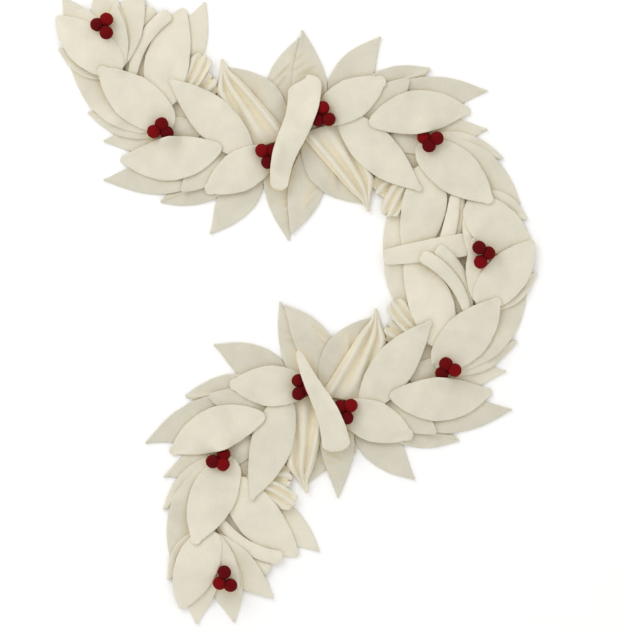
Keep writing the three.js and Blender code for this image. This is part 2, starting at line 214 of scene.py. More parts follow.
# %% The berries, and the way from the plan to the frame
# A cluster's box tells where the plan lies in the frame, because its balls are all the same size
BALLS = {
    "seam_berries": [(37, 36.5), (45, 21), (30.5, 20.5)],
    "crown_berries": [(190.5, -4.5), (180, -14.5), (173, -3)],
    "middle_berries": [(247, -143), (259.5, -153), (248, -162.5)],
}
LEFT_TOP_MIDDLE_BALLS = [(254, -137), (266.5, -148), (254, -155)]
seam_low, seam_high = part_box("right_top_seam_berries")
ball_x = [x for x, y in BALLS["seam_berries"]]
ball_y = [y for x, y in BALLS["seam_berries"]]
SHIFT_X = 0.5 / MM * (seam_low.x + seam_high.x) - 0.5 * (min(ball_x) + max(ball_x))
SHIFT_Y = 0.5 / MM * (seam_low.y + seam_high.y) - 0.5 * (min(ball_y) + max(ball_y))
print("plan to frame, mm:", round(SHIFT_X, 2), round(SHIFT_Y, 2))

# %% [markdown]
# ## What the felt keeps of its folds
#
# A cut leaf is never quite flat. Thick felt waves slowly, some back leaves are creased, and those
# under the long leaves are ruffled in small pleats. A noise texture could bump them in the
# material, but then the leaves on top wouldn't follow, so here the folds are heights of the leaf
# itself, each a short formula. On a leaf, `s` runs from its root to its tip, from 0 to 1, and `c`
# runs across it, from -1 to 1.

# %% Slow waves
# Waves along a leaf, waves across it and their height; and how much a wave leans across the leaf
WAVES = ((1.3, 0.4, 0.5), (2.4, 0.9, 0.3), (4.1, 1.5, 0.15))
WAVE_LEAN = 2.5


def slow_waves(s, c, phases, tilts):
    """Slow waves in the felt, different on each leaf but the same on each run."""
    wave = 0.0
    for k, (along, across, size) in enumerate(WAVES):
        turn = 2 * np.pi * along * s + phases[2 * k] + WAVE_LEAN * tilts[k] * c
        wave = wave + size * np.sin(turn) * np.cos(np.pi * across * c + phases[2 * k + 1])
    return wave


print("highest wave, mm:", sum(size for along, across, size in WAVES))

# %% Creases and small pleats
# The share of its height that a crease keeps at its ends
CREASE_ENDS = 0.35
# How far small pleats turn from root to tip, how soon they are full, and how sharp their ridges are
PLEAT_TURN, PLEAT_GROWTH, PLEAT_SHARPNESS = 0.2, 2.2, 1.3


def crease_share(x, y, crease, shift=0.0):
    """The share of a crease at x, y, from 0 to 1, for a crease moved sideways by shift breadths."""
    x0, y0, x1, y1, breadth = crease[:5]
    run_x, run_y = x1 - x0, y1 - y0
    length = math.hypot(run_x, run_y)
    x0, y0 = x0 - shift * breadth * run_y / length, y0 + shift * breadth * run_x / length
    inside = np.clip(((x - x0) * run_x + (y - y0) * run_y) / length**2, 0, 1)
    away = np.hypot(x - x0 - inside * run_x, y - y0 - inside * run_y)
    along = CREASE_ENDS + (1 - CREASE_ENDS) * np.sin(np.pi * inside)
    return np.exp(-((away / breadth) ** 2)) * along


def small_pleats(s, c, count, phase):
    """Small pleats that run along a leaf, from 0 in a valley to 1 on a ridge."""
    turn = np.pi * count * (c + PLEAT_TURN * s) + phase
    return np.clip(PLEAT_GROWTH * s, 0, 1) * (0.5 + 0.5 * np.sin(turn)) ** PLEAT_SHARPNESS


print("creases of one arc:", sum(len(form.get("creases", [])) for form in FORMS.values()))

# %% [markdown]
# ## Cutting a leaf
#
# A leaf is a pointed oval with a rounded root, and the scissors leave its edge slightly wavy. A
# circle could be pinched to that shape in edit mode. A formula for its width is used here because
# it fits leaves of any bend and length, and its grid of points follows the leaf's rib.

# %% A leaf as it is cut
# The share of its width that a leaf keeps at its very ends
TIP_SHARE = 0.045
# How much a strip narrows at both ends, and how much it swells between them
STRIP_PINCH, STRIP_SWELL = 0.1, 0.25
# The scissors' waves: their share of the width, their pace, and which of the leaf's phases they use
CUT_WAVES = ((0.010, 19, 6), (0.006, 43, 7))
# How much of its length a ruffled leaf keeps, how far its ridges reach and its sides fall behind
RUFFLE_KEEPS, RIDGE_REACH, SIDE_LAG = 0.94, 0.11, 0.05
# Columns of the grid that is laid, and rows and columns of the grid that shows
RUFFLED_GRIDS, CREASED_GRIDS = (25, (48, 37)), (29, (56, 29))
# Each leaf's own waves come from a seed that is made of its place, added to this one
FIRST_SEED = 5000


class FlatLeaf:
    """One leaf as it is cut: its outline and its plan."""

    lay_rows, lay_columns = 49, 15
    grid = (40, 11)
    tip_rounding, root_rounding, root_start = 4.0, 0.1, 0.1
    strip, ruffle, creases = None, None, ()
    sway, slant = 0, 0

    def __init__(self, row, arc, form):
        vars(self).update(zip(COLUMNS, row))
        vars(self).update(form)
        self.arc = arc
        if self.ruffle:
            self.lay_columns, self.grid = RUFFLED_GRIDS
        if self.creases:
            self.lay_columns, self.grid = CREASED_GRIDS
        self.run = (self.tip_x - self.root_x, self.tip_y - self.root_y)
        self.length = math.hypot(*self.run)
        own_seed = int(7 * self.root_x + 13 * self.tip_y + arc["turn"])
        chance = np.random.default_rng(FIRST_SEED + own_seed)
        self.phases = chance.uniform(0, 2 * np.pi, 8)
        self.tilts = chance.uniform(-1, 1, 3)

    def half(self, s):
        """Half of the leaf's width."""
        capped = np.minimum(s, 1 - self.tip_rounding / self.length)
        turn = np.pi * (self.root_start + (1 - self.root_start) * capped)
        share = np.maximum(0.0, np.sin(turn)) ** self.point
        if self.strip:
            root, tip = self.strip
            share = (root * (1 - s) + tip * s) * (1 - STRIP_PINCH * (2 * s - 1) ** 2)
            share = share + STRIP_SWELL * np.sin(np.pi * s) * (1 - max(root, tip))
        inward = np.clip(1 - s / self.root_rounding, 0, 1)
        tipward = np.clip(1 - (1 - s) * self.length / self.tip_rounding, 0, 1)
        share = share * np.sqrt(1 - inward**2) * np.sqrt(1 - tipward**2)
        wavy = 1.0
        for size, pace, phase in CUT_WAVES:
            wavy = wavy + size * np.sin(pace * s + self.phases[phase])
        return 0.5 * self.width * np.maximum(TIP_SHARE, share * wavy)

    def plan(self, s, c):
        """The plan points at s, c."""
        return placed(self.arc, *self.own_plan(s, c))

    def own_plan(self, s, c):
        """The plan points at s, c in the arc's own frame."""
        dx, dy = self.run
        left_x, left_y = -dy / self.length, dx / self.length
        swing = 4 * self.bow * s * (1 - s) - self.sway * np.sin(2 * np.pi * s)
        slope = 4 * self.bow * (1 - 2 * s) - 2 * np.pi * self.sway * np.cos(2 * np.pi * s)
        slope = slope / self.length
        stretch = np.hypot(1, slope)
        across_x = (left_x - slope * dx / self.length) / stretch
        across_y = (left_y - slope * dy / self.length) / stretch
        out = c * self.half(s) * (1 if self.arc["mirrored"] else -1)
        along = s + self.slant * c * (1 - s) ** 2
        if self.ruffle:
            along = s * (RUFFLE_KEEPS + RIDGE_REACH * self.pleats(s, c) - SIDE_LAG * c**2)
        x = self.root_x + dx * along + left_x * swing + across_x * out
        y = self.root_y + dy * along + left_y * swing + across_y * out
        return x, y

    def pleats(self, s, c):
        """The small pleats of a ruffled leaf."""
        return small_pleats(s, c, self.ruffle[1], self.phases[0])


long_leaf = FlatLeaf(SPRAYS["long_leaf"][0], ARCS["right_top"], FRONT)
print("a long leaf, mm:", round(long_leaf.length, 1), "x", round(2 * long_leaf.half(0.5), 1))

# %% A leaf with its folds
# Where along a leaf its tip starts to curl up
CURL_START = 0.5
# How dark the painted shade beside a crease is, and how many breadths away
CREASE_SHADE, CREASE_SHADE_SHIFT = 0.9, -1.1


class Leaf(FlatLeaf):
    """A cut leaf with what the felt keeps of its folds."""

    def rise(self, s, c):
        """The height at s, c over a flat table before the leaf is laid."""
        swell = self.half(s) / (0.5 * self.width)
        tipward = np.maximum(0.0, (s - CURL_START) / (1 - CURL_START))
        rise = self.crown * (1 - c**2) * swell
        rise = rise + self.arch * np.sin(np.pi * s) + self.curl * tipward**2
        return rise + slow_waves(s, c, self.phases, self.tilts) + self.folds(s, c)

    def folds(self, s, c):
        """Creases as soft ridges, and the small pleats of a ruffled leaf."""
        fold = np.zeros(np.broadcast(s, c).shape)
        for crease in self.creases:
            fold += crease[-1] * crease_share(*self.own_plan(s, c), crease)
        if self.ruffle:
            fold += self.ruffle[0] * self.pleats(s, c)
        return fold

    def shade(self, s, c):
        """How deep in a fold the felt lies, from 0 to 1: the painted shade in the valleys of small
        pleats and beside creases.
        """
        if self.ruffle:
            return (1 - self.pleats(s, c)) ** 2
        shade = np.zeros(np.broadcast(s, c).shape)
        for crease in self.creases:
            beside = crease_share(*self.own_plan(s, c), crease, CREASE_SHADE_SHIFT)
            shade = np.maximum(shade, CREASE_SHADE * beside)
        return shade


long_leaf = Leaf(SPRAYS["long_leaf"][0], ARCS["right_top"], FRONT)
print("rise of its middle, mm:", long_leaf.rise(np.array([0.5]), np.array([0.0])).round(1)[0])

# %% [markdown]
# ## The pleats
#
# At each seam one broad leaf is gathered lengthwise into three ridges that run together in a thin
# tip. Three folded strips could stand for it, but they would show three tips. So it is one leaf,
# described as the others are, but with a plan that lies between two drawn borders.

# %% Smooth lines through even points
def spline_matrix(places, count):
    """Weights that carry values at count even places to any places between 0 and 1, smoothly."""
    at = np.clip(places, 0, 1) * (count - 1)
    first = np.minimum(at.astype(int), count - 2)
    t = at - first
    weights = [
        -0.5 * t + t**2 - 0.5 * t**3,
        1 - 2.5 * t**2 + 1.5 * t**3,
        0.5 * t + 2 * t**2 - 1.5 * t**3,
        -0.5 * t**2 + 0.5 * t**3,
    ]
    matrix = np.zeros((len(places), count))
    for k, weight in enumerate(weights):
        column = np.clip(first + k - 1, 0, count - 1)
        np.add.at(matrix, (np.arange(len(places)), column), weight)
    return matrix


print("weights half way between two points:", spline_matrix(np.array([0.5]), 4)[0])

# %% The gathered leaf
# Points of the two borders in an arc's own frame, at even steps from the seam to the tip
LOW_BORDER = [(6, 2), (32, -28), (54, -53), (74, -75), (89, -88), (96.5, -102)]
HIGH_BORDER = [(76, 25), (89, -6), (98, -32), (105, -56), (102, -79), (100, -103)]
# The middle of each ridge across the leaf, its reach to both sides and its share of the height
RIDGES = ((-0.72, 0.27, 1.0), (-0.06, 0.40, 0.85), (0.66, 0.40, 1.0))
RIDGE_HEIGHT, RIDGE_TOP = 11.0, 1.15
# Higher numbers make the ridges narrower, steeper or more winding
RIDGE_NARROWNESS, RIDGE_STEEPNESS, RIDGE_WANDER = 1.9, 2.6, 0.05
# Half widths at which the ridges vanish and are full: a narrow tip has no room for them
NO_ROOM, FULL_ROOM = 1.5, 17.5
# The rise of the tip off the leaves, where it starts and over what share of the length it comes
TIP_LIFT, TIP_LIFT_START, TIP_LIFT_REACH = 4.0, 0.8, 0.2


class GatheredLeaf:
    """A broad leaf gathered into ridges."""

    lay_rows, lay_columns = 49, 43
    grid = (56, 61)
    width = 62.0

    def __init__(self, arc):
        self.arc = arc
        self.low = np.array(LOW_BORDER, dtype=float)
        self.high = np.array(HIGH_BORDER, dtype=float)
        steps = np.diff(0.5 * (self.low + self.high), axis=0)
        self.length = np.linalg.norm(steps, axis=1).sum()
        self.phase = 0.02 * arc["turn"]

    def borders(self, s):
        """Points of both borders at s."""
        matrix = spline_matrix(np.ravel(s), len(self.low))
        return matrix @ self.low, matrix @ self.high

    def half(self, s):
        """Half of the distance between the borders."""
        low, high = self.borders(s)
        return (0.5 * np.linalg.norm(high - low, axis=1)).reshape(np.shape(s))

    def plan(self, s, c):
        """The plan points at s, c."""
        low, high = self.borders(s)
        rows = low.shape[0]
        share = np.broadcast_to((1 + c) / 2, (rows, np.shape(c)[-1]))[..., None]
        points = low[:, None] * (1 - share) + high[:, None] * share
        return placed(self.arc, points[..., 0], points[..., 1])

    def ridge(self, s, c):
        """The ridges' height at s, c, as a share of the highest."""
        high = np.zeros(np.broadcast(s, c).shape)
        for middle, reach, share in RIDGES:
            wander = RIDGE_WANDER * np.sin(5 * s + 9 * middle + self.phase)
            away = np.abs(c - middle - wander) / reach
            high = high + share / (1 + (RIDGE_NARROWNESS * away) ** RIDGE_STEEPNESS)
        return np.minimum(high, RIDGE_TOP)

    def rise(self, s, c):
        """The height at s, c over a flat table before the leaf is laid."""
        room = np.minimum(1.0, (self.half(s) - NO_ROOM) / (FULL_ROOM - NO_ROOM))
        swell = np.maximum(0.0, np.sin(np.pi * (0.12 + 0.78 * s))) ** 0.7
        lift_off = TIP_LIFT * np.clip((s - TIP_LIFT_START) / TIP_LIFT_REACH, 0, 1) ** 2
        slow_wave = 0.4 * np.sin(7 * s + 3 * c)
        return RIDGE_HEIGHT * room * swell * self.ridge(s, c) + lift_off + slow_wave

    def shade(self, s, c):
        """How deep between the ridges the felt lies, from 0 to 1, for a painted shade there. At the
        seam it is hidden.
        """
        return np.clip(1.1 - self.ridge(s, c), 0, 1) ** 1.5 * np.clip(6 * s, 0, 1)


print("a gathered leaf, mm:", round(GatheredLeaf(ARCS["right_top"]).length, 1))

# %% [markdown]
# ## Laying the leaves
#
# The heights of everything laid so far are kept in a map with one number for each square
# millimetre. A leaf must stay above that map. Between the places where it is held up it sags like
# felt does: its height is blurred again and again, let down a little each time, and never let
# below the map. That is the same answer that a slow drape would settle into, in milliseconds.

# %% The map of heights
# The thickness of the felt, and the size of a cell of the map
FELT = 3.0
CELL = 1.0
# Where the map lies in the plan, how many cells it has, and how many are read round a leaf
MAP_LEFT, MAP_FRONT = -360.0, -700.0
MAP_ROWS, MAP_COLUMNS = 920, 720
MAP_MARGIN = 3
heights = np.zeros((MAP_ROWS, MAP_COLUMNS))
owners = np.zeros(heights.shape, dtype=int)
print("map, mm:", MAP_COLUMNS * CELL, "x", MAP_ROWS * CELL)


def spots(x, y):
    """The map's rows and columns of plan points."""
    return ((y - MAP_FRONT) / CELL).astype(int), ((x - MAP_LEFT) / CELL).astype(int)


def widened(field, reach=1):
    """Each cell takes the highest of its neighbours."""
    for axis in (0, 1):
        margin = [(reach, reach) if a == axis else (0, 0) for a in (0, 1)]
        padded = np.pad(field, margin, mode="edge")
        size = field.shape[axis]
        shifts = [np.take(padded, range(k, k + size), axis) for k in range(2 * reach + 1)]
        field = np.max(shifts, axis=0)
    return field


def level_under(field, x, y):
    """The height of a map under plan points, between its cells."""
    rows, columns = spots(x, y)
    top, left = rows.min() - MAP_MARGIN, columns.min() - MAP_MARGIN
    bottom, right = rows.max() + MAP_MARGIN + 1, columns.max() + MAP_MARGIN + 1
    window = widened(field[top:bottom, left:right])
    v = (y - MAP_FRONT) / CELL - 0.5 - top
    u = (x - MAP_LEFT) / CELL - 0.5 - left
    i, j = np.floor(v).astype(int), np.floor(u).astype(int)
    v, u = v - i, u - j
    low = window[i, j] * (1 - u) + window[i, j + 1] * u
    high = window[i + 1, j] * (1 - u) + window[i + 1, j + 1] * u
    return low * (1 - v) + high * v


# %% [markdown]
# ## How felt sags
#
# Thick felt bends in wide curves and bridges the small steps under it. A blur does the same to a
# grid of heights: a wide one for the whole leaf first, then narrower ones that let it down into
# the hollows. The number of sweeps is fixed, so every run gives the same garland.

# %% The relaxing of a laid leaf
# Width of the blur in mm, how often it is applied, and how far the felt is let down each time
SETTLING = ((16.0, 30, 1.0), (9.0, 14, 0.25), (5.0, 8, 0.04))
# Width of the last blur, which rounds the steps that are left
SOFTEN = 3.0
print("sweeps for each leaf:", sum(sweeps for sigma, sweeps, sag in SETTLING))


def blur_matrix(count, sigma):
    """A Gaussian blur of that many steps, as a matrix."""
    steps = np.arange(count)
    weights = np.exp(-0.5 * ((steps[:, None] - steps) / max(sigma, 1e-3)) ** 2)
    return weights / weights.sum(1, keepdims=True)


def settled(need, row_step, column_step):
    """The lift of each grid point: smooth, and as low as what lies under it lets it be."""
    lift = need.copy()
    for sigma, sweeps, sag in SETTLING:
        along = blur_matrix(need.shape[0], sigma / row_step)
        across = blur_matrix(need.shape[1], sigma / column_step).T
        for _ in range(sweeps):
            lift = np.maximum(need, along @ lift @ across - sag)
    along = blur_matrix(need.shape[0], SOFTEN / row_step)
    across = blur_matrix(need.shape[1], SOFTEN / column_step).T
    soft = along @ lift @ across
    short = along @ widened(np.maximum(0.0, need - soft), 2) @ across
    return soft + short


# %% The lift of a laid leaf
# Room between a leaf and what it lies on
LAY_GAP = 0.4
# The first share of a leaf is sewn into its own spray, and sinks that far into it
SEWN_SHARE, SEWN_DEPTH = 0.3, 1.6
# Columns are this share of the full width's steps apart, because a leaf narrows at both ends
MEAN_WIDTH = 0.75
# The steepest slope that counts, as the upright part of its normal. A sloping sheet takes more
# room upright than a level one, up to this many times its thickness
STEEPEST, THICKEST = 0.05, 1.2


def slopes(x, y, z):
    """The unit normals of a grid of points."""
    grid = np.stack([x, y, z], axis=-1)
    normal = np.cross(np.gradient(grid, axis=0), np.gradient(grid, axis=1))
    normal /= np.maximum(np.linalg.norm(normal, axis=-1, keepdims=True), 1e-9)
    return normal * np.sign(normal[..., 2:3].sum())


def laid_lift(shape, own_map):
    """How far each point of a leaf's laying grid is lifted, and what it lies on."""
    s = np.linspace(0, 1, shape.lay_rows)[:, None]
    c = np.linspace(-1, 1, shape.lay_columns)[None, :]
    x, y = shape.plan(s, c)
    rise = shape.rise(s, c)
    row_step = shape.length / (shape.lay_rows - 1)
    column_step = MEAN_WIDTH * shape.width / (shape.lay_columns - 1)
    laid = level_under(heights, x, y)
    # Without a gap where the leaf lies on the table itself
    laid = laid + LAY_GAP * np.clip(laid, 0, 1)
    own = level_under(own_map, x, y) + np.where(s > SEWN_SHARE, LAY_GAP, -SEWN_DEPTH)
    floor = np.maximum(laid, own)
    upright = np.full(x.shape, 0.5 * FELT)
    # Twice, because the slopes that the leaf takes change the room that it needs
    for _ in range(2):
        lift = settled(floor + upright - rise, row_step, column_step)
        normal = slopes(x, y, rise + lift)
        upright = np.minimum(0.5 * FELT / np.maximum(normal[..., 2], STEEPEST), THICKEST * FELT)
    return lift, set(np.unique(owners[spots(x, y)]))


# %% Keeping the map up to date
# Points for each line of a grid, close enough to leave no cell of the map out
MARK_STEPS = 6


def mark_on_map(field, x, y, top):
    """Raises a map to the upper face of what was laid."""
    fine_rows = np.linspace(0, x.shape[0] - 1, MARK_STEPS * x.shape[0])
    fine_columns = np.linspace(0, x.shape[1] - 1, MARK_STEPS * x.shape[1])

    def refined(values):
        columns = np.arange(x.shape[1])
        rows = np.arange(x.shape[0])
        across = np.array([np.interp(fine_columns, columns, line) for line in values])
        return np.array([np.interp(fine_rows, rows, line) for line in across.T]).T

    x, y, top = refined(x), refined(y), refined(top)
    np.maximum.at(field, spots(x, y), top)


# %% [markdown]
# ## From a laid leaf to a felt one
#
# The upper and the lower face lie half a felt's thickness off the middle layer. The felt's cut edge
# is rounded, so the grid has a few close lines along it, and the two faces come together there in
# the points of the outline, which makes the leaf one closed skin. A Solidify and a Bevel modifier
# would do nearly the same, but their faces cross at the thin tips.

# %% Close lines along the cut edge
# Distances of the close lines from the cut edge, and how full its rounding is
EDGE_STEPS = np.array([0.0, 0.15, 0.5, 1.0, 1.6])
EDGE_FULLNESS = 2.4
# A leaf that is less than so many rounded edges long, or half wide, has them squeezed together
END_ROOM, SIDE_ROOM = 4, 2.2


def with_edges(inner, size):
    """Places from 0 to 1: close lines at both ends, and even ones between."""
    near = EDGE_STEPS * min(1.0, size / (END_ROOM * EDGE_STEPS[-1])) / size
    middle = np.linspace(near[-1], 1 - near[-1], inner)[1:-1]
    return np.concatenate([near, middle, 1 - near[::-1]])


def across_places(half, inner):
    """For each row, places from -1 to 1 with close lines at both sides."""
    squeeze = np.minimum(1.0, half / (SIDE_ROOM * EDGE_STEPS[-1]))[:, None]
    near = EDGE_STEPS[:-1] * squeeze / half[:, None]
    edge = 1 - EDGE_STEPS[-1] * squeeze / half[:, None]
    return np.concatenate([-1 + near, edge * np.linspace(-1, 1, inner), 1 - near[:, ::-1]], axis=1)


def edge_profile(distance):
    """The felt's half thickness at a distance from its cut edge."""
    inward = np.clip(1 - distance / EDGE_STEPS[-1], 0, 1)
    return 0.5 * FELT * (1 - inward**EDGE_FULLNESS) ** (1 / EDGE_FULLNESS)


print("half thickness at the edge's lines, mm:", edge_profile(EDGE_STEPS).round(2))

# %% The skin of a leaf
def leaf_surface(shape, own_map):
    """Lays a leaf, and gives its middle layer, its offsets, its painted fold shade and what it lies on.
    """
    lift, under = laid_lift(shape, own_map)
    s = with_edges(shape.grid[0], shape.length)
    half = shape.half(s)
    c = across_places(half, shape.grid[1])
    rows = spline_matrix(s, shape.lay_rows) @ lift
    lift = np.array([spline_matrix((c[k] + 1) / 2, shape.lay_columns) @ rows[k] for k in range(len(s))])
    along = s[:, None]
    x, y = shape.plan(along, c)
    z = lift + shape.rise(along, c)
    from_end = np.minimum(s, 1 - s)[:, None] * shape.length
    from_rim = np.minimum((1 - np.abs(c)) * half[:, None], from_end)
    off = edge_profile(from_rim)[..., None] * slopes(x, y, z)
    middle = np.stack([x, y, z], axis=-1)
    mark_on_map(own_map, x, y, (middle + off)[..., 2])
    return middle, off, shape.shade(along, c), under


def closed_skin(middle, off):
    """One closed mesh from a middle layer and its offsets, which are nothing along the outline."""
    rows, columns = middle.shape[:2]
    upper = np.arange(rows * columns).reshape(rows, columns)
    lower = upper.copy()
    inside = (slice(1, -1), slice(1, -1))
    inner = (rows - 2, columns - 2)
    lower[inside] = rows * columns + np.arange(inner[0] * inner[1]).reshape(inner)
    points = np.concatenate([(middle + off).reshape(-1, 3), (middle - off)[inside].reshape(-1, 3)])

    def quads(index):
        corners = [index[:-1, :-1], index[1:, :-1], index[1:, 1:], index[:-1, 1:]]
        return np.stack(corners, axis=-1).reshape(-1, 4)

    faces = np.concatenate([quads(upper), quads(lower)[:, ::-1]])
    # The upper face has to look up
    centre = quads(upper)[len(quads(upper)) // 2]
    a, b, d = (points[centre[k]] for k in (0, 1, 2))
    if np.cross(b - a, d - a)[2] < 0:
        faces = faces[:, ::-1]
    return points, faces


# %% [markdown]
# ## The pieces
#
# One object holds the leaves of one node, as the imported model does, and takes that node's place.
# Each of its points also carries two numbers for the material: how light its leaf is, which on the
# lowest sprays is a painted shade, and how deep in a fold it lies, which the material paints as a
# warmer shade. They could be painted by hand, but they are known when the leaf is laid.

# %% A spray as one piece
# The height of a spray's own map where it has no leaf yet
BARE = -50.0
# How much lighter or darker than its spray a leaf may be
LEAF_TONE_SPREAD = 0.02
laid_names = ["floor"]


def mesh_piece(name, parts, attributes):
    """One object from the closed skins of its leaves."""
    points, faces, start = [], [], 0
    for part_points, part_faces in parts:
        points.append(part_points)
        faces.append(part_faces + start)
        start += len(part_points)
    points, faces = np.concatenate(points), np.concatenate(faces)
    points = (points + [SHIFT_X, SHIFT_Y, 0.0]) * MM
    mesh = bpy.data.meshes.new(name)
    mesh.from_pydata(points.tolist(), [], faces.tolist())
    for key, values in attributes.items():
        layer = mesh.attributes.new(key, "FLOAT", "POINT")
        layer.data.foreach_set("value", np.concatenate(values).astype(np.float32))
    mesh.shade_smooth()
    piece = bpy.data.objects.new(name, mesh)
    bpy.context.scene.collection.objects.link(piece)
    return piece


def cut_size(middle):
    """A leaf's width, length and area along the felt, in metres."""
    width = np.linalg.norm(np.diff(middle, axis=1), axis=-1).sum(1).max()
    length = np.linalg.norm(np.diff(middle, axis=0), axis=-1).sum(0).mean()
    sides = np.cross(np.diff(middle, axis=0)[:, :-1], np.diff(middle, axis=1)[:-1])
    return width * MM, length * MM, np.linalg.norm(sides, axis=-1).sum() * MM**2


def lay_spray(node, shapes, tone_and_shading):
    """Lays the leaves of one node and makes its piece. tone_and_shading: lighter or darker felt, which
    on the lowest sprays is a painted shade.
    """
    own_map = np.full(heights.shape, BARE)
    parts, tones_and_shading, folds, cuts, under = [], [], [], [], set()
    for shape in shapes:
        middle, off, shade, lies_on = leaf_surface(shape, own_map)
        under |= lies_on
        cuts.append(cut_size(middle))
        parts.append(closed_skin(middle, off))
        # How deep in a fold each point lies, which the material paints as a warm shade
        folds.append(np.concatenate([shade.ravel(), shade[1:-1, 1:-1].ravel()]))
        chance = np.random.default_rng(100 * len(laid_names) + len(parts))
        leaf_tone_and_shading = tone_and_shading + chance.uniform(-LEAF_TONE_SPREAD, LEAF_TONE_SPREAD)
        tones_and_shading.append(np.full(len(parts[-1][0]), leaf_tone_and_shading))
    laid_here = own_map > heights
    heights[laid_here] = own_map[laid_here]
    owners[laid_here] = len(laid_names)
    piece = mesh_piece(f"{node}_felt", parts, {"tone_and_shading": tones_and_shading, "fold": folds})
    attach(piece, "root")
    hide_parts(node)
    laid_names.append(piece.name)
    return piece


# %% [markdown]
# ## The berries
#
# Each berry is a ball rolled from wet wool, so it is nearly round, with soft lumps and a rough skin.
# It could be sculpted, or covered in hair. Here a round mesh is displaced by a coarse and by a fine
# noise, which gives the same look with few faces. The balls of a cluster are copies of that one
# ball, each turned another way, and they rest on the felt under them.

# %% A felted ball
BALL_RADIUS = 9.2
# The size of the lumps and how far they stand out, in metres
LUMPS = ((0.009, 0.0011), (0.0022, 0.0005))


def felted_ball():
    """A ball of felted wool round the origin, a little uneven."""
    bpy.ops.object.select_all(action="DESELECT")
    bpy.ops.mesh.primitive_ico_sphere_add(subdivisions=5, radius=BALL_RADIUS * MM)
    ball = bpy.context.active_object
    for size, strength in LUMPS:
        texture = bpy.data.textures.new("felting", "CLOUDS")
        texture.noise_scale = size
        lumps = ball.modifiers.new("lumps", "DISPLACE")
        lumps.texture = texture
        lumps.texture_coords = "LOCAL"
        lumps.strength = strength
        lumps.mid_level = 0.5
        bpy.ops.object.modifier_apply(modifier=lumps.name)
        bpy.data.textures.remove(texture)
    bpy.ops.object.shade_smooth()
    return ball


pattern_ball = felted_ball()
print("faces of a ball:", len(pattern_ball.data.polygons))

# %% The balls rest on the felt under them
# The most that one ball of a cluster lies below the highest
BALL_STAGGER = 5.0


def ball_seats(balls, arc):
    """Seats a cluster's balls on the map of heights, and gives the places of their middles."""
    seats, windows = [], []
    reach = int(math.ceil(BALL_RADIUS))
    offset = np.arange(-reach, reach + 1)
    away = np.hypot(offset[:, None], offset[None, :])
    inside = away < BALL_RADIUS
    dome = np.sqrt(np.maximum(0.0, BALL_RADIUS**2 - away**2))
    for ball in balls:
        x, y = placed(arc, *ball)
        i = int((y - MAP_FRONT) / CELL)
        j = int((x - MAP_LEFT) / CELL)
        window = (slice(i - reach, i + reach + 1), slice(j - reach, j + reach + 1))
        seats.append([x, y, (heights[window] + LAY_GAP + dome)[inside].max()])
        windows.append(window)
    highest = max(z for x, y, z in seats)
    for seat, window in zip(seats, windows):
        seat[2] = max(seat[2], highest - BALL_STAGGER)
        top = np.maximum(heights[window], seat[2] + dome)
        heights[window] = np.where(inside, top, heights[window])
    return seats


# %% A cluster of berries
# Painted light and shade: the balls of a cluster are painted lighter and darker, as lit and shaded
# balls
BALL_LIGHT_AND_SHADE = (-0.22, 0.3, -0.05)


def lay_berries(node, arc_name):
    """A cluster of three felted balls on the felt."""
    copies = []
    balls = BALLS[node.removeprefix(f"{arc_name}_")]
    if node == "left_top_middle_berries":
        balls = LEFT_TOP_MIDDLE_BALLS
    for k, (x, y, z) in enumerate(ball_seats(balls, ARCS[arc_name])):
        ball = pattern_ball.copy()
        ball.data = pattern_ball.data.copy()
        bpy.context.scene.collection.objects.link(ball)
        # Any turn will do, as long as no two balls have the same
        turn = Euler((1.3 * k + x, 0.7 * k + y, 2.1 * k)).to_matrix().to_4x4()
        place = Matrix.Translation(Vector((x + SHIFT_X, y + SHIFT_Y, z)) * MM)
        ball.data.transform(place @ turn)
        # Each ball is painted lighter or darker, a painted light and shade
        tone_and_shading = ball.data.attributes.new("tone_and_shading", "FLOAT", "POINT")
        ball_light_and_shade = BALL_LIGHT_AND_SHADE[(k + len(laid_names)) % len(BALL_LIGHT_AND_SHADE)]
        tone_and_shading.data.foreach_set("value", [ball_light_and_shade] * len(ball.data.vertices))
        copies.append(ball)
    bpy.ops.object.select_all(action="DESELECT")
    for ball in copies:
        ball.select_set(True)
    bpy.context.view_layer.objects.active = copies[0]
    bpy.ops.object.join()
    cluster = copies[0]
    cluster.name = f"{node}_felted"
    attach(cluster, "root")
    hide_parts(node)
    laid_names.append(cluster.name)
    return cluster


# %% [markdown]
# ## Laying everything
#
# The sprays are laid from the lowest to the topmost, each in all four arcs before the next one, so
# the leaves of neighbouring arcs interleave at the seams as the real ones do. The lowest sprays are
# painted slightly darker, a painted shade for the light that the stack beside them takes.

# %% Lay the sprays and the berries in order
# How much lighter or darker than plain felt a spray is; on the lowest sprays the darkening is a painted
# shade
LOW_SPRAY_SHADE = {"outer_spray": -0.13, "shoulder_spray": -0.06, "seam_spray": -0.11, "end_spray": -0.02}
FRONT_TONE, PLAIN_TONE = -0.04, 0.0


def shapes_of(spray, node, arc):
    """The leaves of one node, from the lowest to the topmost."""
    if spray == "pleat_spray":
        return [GatheredLeaf(arc)]
    lowest = FREE_END_LEAVES if spray == "end_spray" and arc["free_end"] else []
    shapes = [Leaf(row, arc, {}) for row in lowest]
    base = FRONT if spray in FRONT_SPRAYS else {}
    for k, row in enumerate(SPRAYS[spray]):
        form = {**base, **FORMS.get((spray, k), {}), **CHANGES.get((node, k), {})}
        shapes.append(Leaf(row, arc, form))
    return shapes


